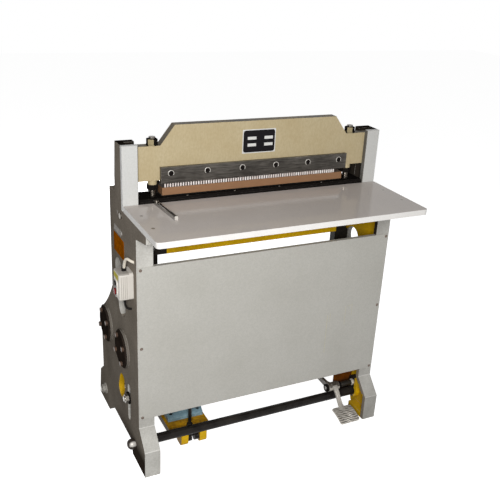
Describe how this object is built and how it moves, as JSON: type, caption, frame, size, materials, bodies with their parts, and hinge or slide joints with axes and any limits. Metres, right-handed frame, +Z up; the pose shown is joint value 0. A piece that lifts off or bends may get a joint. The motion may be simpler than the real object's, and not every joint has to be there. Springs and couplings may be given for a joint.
{
  "type": "paper punching machine",
  "caption": "Floor-standing motor-driven paper punch: cast side frames, sliding crosshead with a comb of square pins, laminate table, foot pedal and flywheel drive.",
  "frame": {"origin": "on the floor, under the middle of the machine's overall box", "axes": "+Z up, +Y towards the back, +X to the right of someone who stands at the table"},
  "size_m": [0.972, 0.677, 1.107],
  "materials": {
    "frame_paint": "hammertone grey paint on a casting",
    "cover_paint": "hammertone grey paint on sheet",
    "post_paint": "off-white gloss paint",
    "cream_paint": "cream paint",
    "yellow_paint": "yellow machinery paint",
    "blue_paint": "light blue paint",
    "black_paint": "black paint",
    "dark_steel": "blackened steel",
    "clamp_steel": "ground tool steel",
    "steel": "turned steel",
    "bright_steel": "ground steel",
    "copper_steel": "copper-coloured tool plate",
    "cast_iron": "machined cast iron",
    "bronze": "bearing bronze",
    "laminate": "glossy grey laminate",
    "cream_plastic": "moulded plastic",
    "black_plastic": "moulded plastic",
    "red_plastic": "moulded plastic",
    "belt_rubber": "rubber with cloth",
    "cream_lead": "flexible sheath",
    "black_lead": "flexible sheath",
    "plate_black": "printed aluminium",
    "guide_chrome": "bright drawn bar",
    "pedal_paint": "cast aluminium"
  },
  "bodies": {
    "machine": {"left_side_frame": "frame_paint", "right_side_frame": "frame_paint", "front_gibs": "post_paint", "bearing_bushes": "bronze", "bearing_caps": "dark_steel", "cap_bolts": "steel", "bed_beam": "yellow_paint", "rod_guides": "black_paint", "frame_bolts": "steel", "die_base": "dark_steel", "die_screws": "bright_steel", "paper_backstop": "dark_steel", "stripper_plate": "copper_steel", "table_top": "laminate", "table_screws": "dark_steel", "front_cover": "cover_paint", "cover_screws": "steel", "drive_belts": "belt_rubber", "motor_body": "blue_paint", "motor_fan_cover": "blue_paint", "terminal_box": "blue_paint", "motor_tray": "yellow_paint", "motor_bolts": "steel", "tension_lugs": "yellow_paint", "tension_screw": "black_paint", "front_cross_bar": "black_paint", "cross_bar_nuts": "steel", "tie_rods": "steel", "tie_rod_nuts": "dark_steel", "pedal_bracket": "black_paint", "pedal_pivot": "steel", "return_spring": "steel", "switch_base": "cream_plastic", "switch_cover": "cream_plastic", "switch_glands": "black_plastic", "supply_lead": "cream_lead", "motor_lead": "black_lead"},
    "crosshead_unit": {"crosshead": "cream_paint", "clamp_plate": "clamp_steel", "clamp_screws": "bright_steel", "punch_pins": "bright_steel", "nameplate": "plate_black", "pull_rods": "steel", "rod_nuts": "dark_steel", "eccentric_yokes": "black_paint"},
    "eccentric_unit": {"eccentric_shaft": "steel", "clutch_collar": "cast_iron"},
    "gear_unit": {"main_gear": "cast_iron"},
    "countershaft_unit": {"countershaft": "steel", "flywheel": "cast_iron", "pinion": "steel"},
    "rotor_unit": {"motor_shaft": "steel", "motor_pulley": "cast_iron"},
    "pedal_unit": {"foot_pedal": "pedal_paint"},
    "link_unit": {"trip_link": "steel"},
    "lever_unit": {"trip_lever": "cast_iron"},
    "start_unit": {"start_button": "black_plastic"},
    "stop_unit": {"stop_button": "red_plastic"},
    "guide_unit": {"side_guide": "guide_chrome"}
  },
  "joints": [
    {"name": "countershaft_spin", "type": "hinge", "parent": "machine", "child": "countershaft_unit", "pos_m": [0.016, 0.1925, 0.371], "axis": [1, 0, 0], "continuous": true},
    {"name": "motor_spin", "type": "hinge", "parent": "machine", "child": "rotor_unit", "pos_m": [-0.345, 0.056, 0.135], "axis": [1, 0, 0], "continuous": true},
    {"name": "gear_spin", "type": "hinge", "parent": "machine", "child": "gear_unit", "pos_m": [0.293, 0.0025, 0.371], "axis": [1, 0, 0], "continuous": true},
    {"name": "eccentric_turn", "type": "hinge", "parent": "machine", "child": "eccentric_unit", "pos_m": [0.016, 0.0025, 0.371], "axis": [1, 0, 0], "range_deg": [0, 180]},
    {"name": "crosshead_slide", "type": "slide", "parent": "machine", "child": "crosshead_unit", "axis": [0, 0, -1], "range_m": [0, 0.01]},
    {"name": "pedal_hinge", "type": "hinge", "parent": "machine", "child": "pedal_unit", "pos_m": [0.34, -0.0995, 0.098], "axis": [1, 0, 0], "range_deg": [0, 7], "stiffness_Nm_per_rad": 20, "springref_deg": -5.73},
    {"name": "link_hinge", "type": "hinge", "parent": "pedal_unit", "child": "link_unit", "pos_m": [0.326, -0.0035, 0.098], "axis": [1, 0, 0], "range_deg": [-7.1, 0]},
    {"name": "lever_turn", "type": "hinge", "parent": "machine", "child": "lever_unit", "pos_m": [0.326, -0.0495, 0.21], "axis": [1, 0, 0], "range_deg": [0, 15], "deforming": ["return_spring"]},
    {"name": "start_press", "type": "slide", "parent": "machine", "child": "start_unit", "axis": [1, 0, 0], "range_m": [0, 0.003], "stiffness_N_per_m": 200, "springref_m": -0.005},
    {"name": "stop_press", "type": "slide", "parent": "machine", "child": "stop_unit", "axis": [1, 0, 0], "range_m": [0, 0.003], "stiffness_N_per_m": 200, "springref_m": -0.005},
    {"name": "guide_turn", "type": "hinge", "parent": "machine", "child": "guide_unit", "pos_m": [-0.334, -0.0455, 0.88], "axis": [0, 0, 1], "range_deg": [-30, 50]}
  ],
  "couplings": [
    {"joint": "motor_spin", "follows": "countershaft_spin", "ratio": 3.2},
    {"joint": "gear_spin", "follows": "countershaft_spin", "ratio": -0.35714},
    {"joint": "eccentric_turn", "follows": "crosshead_slide", "rad_per_m": 314.16},
    {"joint": "link_hinge", "follows": "pedal_hinge", "ratio": -1},
    {"joint": "lever_turn", "follows": "pedal_hinge", "ratio": 2.087}
  ]
}
